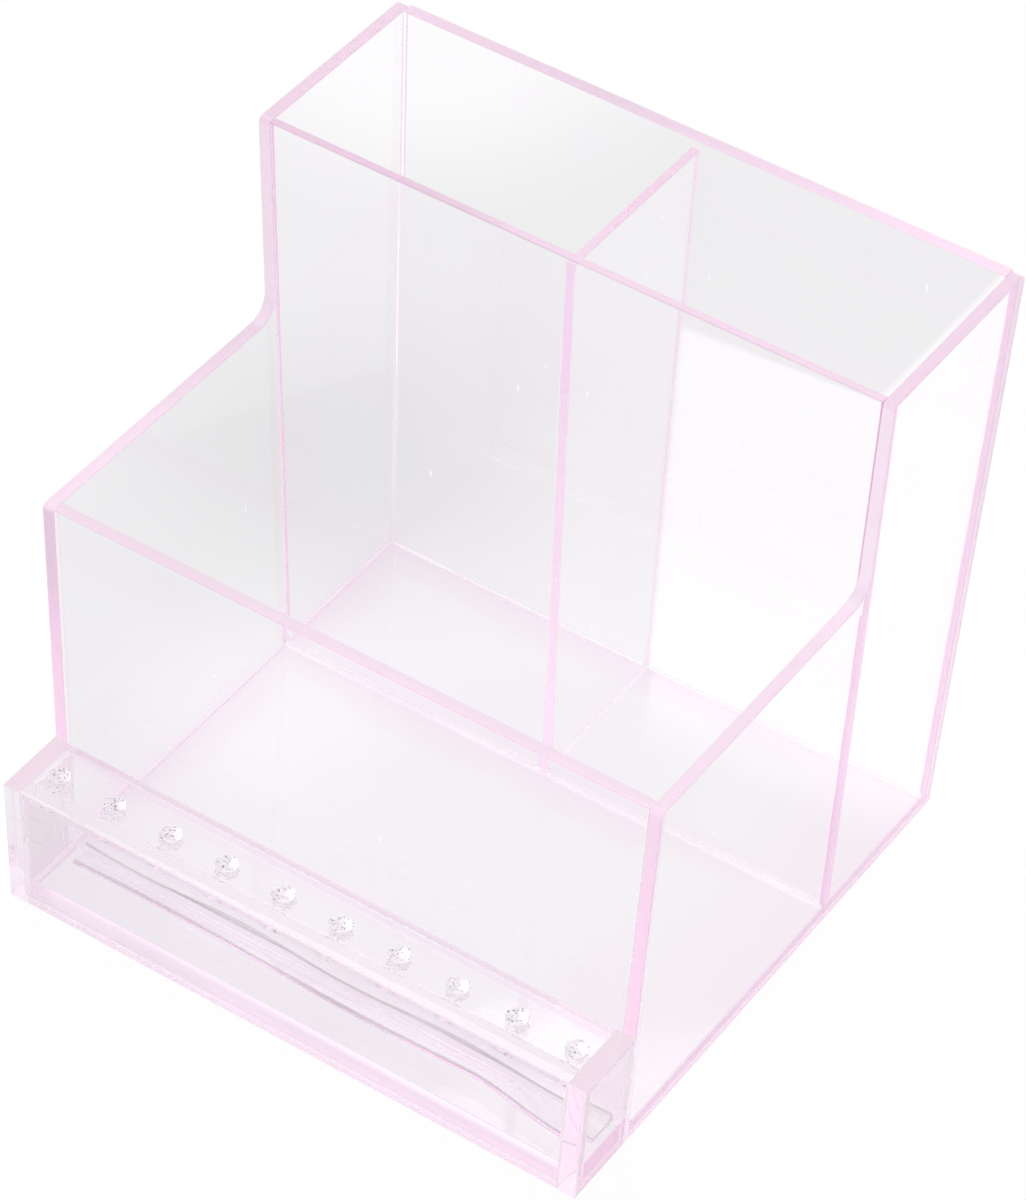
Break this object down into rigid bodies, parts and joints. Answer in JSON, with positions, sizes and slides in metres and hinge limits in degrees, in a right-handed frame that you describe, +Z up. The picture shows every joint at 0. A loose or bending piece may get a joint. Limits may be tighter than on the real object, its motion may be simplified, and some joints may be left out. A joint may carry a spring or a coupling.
{
  "type": "nail drill bit organiser",
  "caption": "Clear pink-tinted stepped organiser with two tall compartments, a low front compartment and a drilled rack for drill bit shanks.",
  "frame": {"origin": "centre of the footprint's bounding box on the table, under the base panel", "axes": "+Z up, the bit rack faces -Y, +X to the right seen from the front"},
  "size_m": [0.1058, 0.1, 0.103],
  "materials": {
    "outer_sheet": "clear polished sheet, very pale pink",
    "partition_sheet": "clear polished thin sheet, very pale pink",
    "rack_sheet": "clear polished sheet, very pale pink"
  },
  "bodies": {
    "root": {"base_panel": "outer_sheet", "left_side_panel": "outer_sheet", "right_side_panel": "outer_sheet", "back_panel": "outer_sheet", "front_panel": "outer_sheet", "middle_panel": "partition_sheet", "centre_divider": "partition_sheet", "rack_floor_plate": "rack_sheet", "rack_left_end": "rack_sheet", "rack_right_end": "rack_sheet", "rack_front_plate": "rack_sheet", "rack_top_plate": "rack_sheet"}
  },
  "joints": []
}
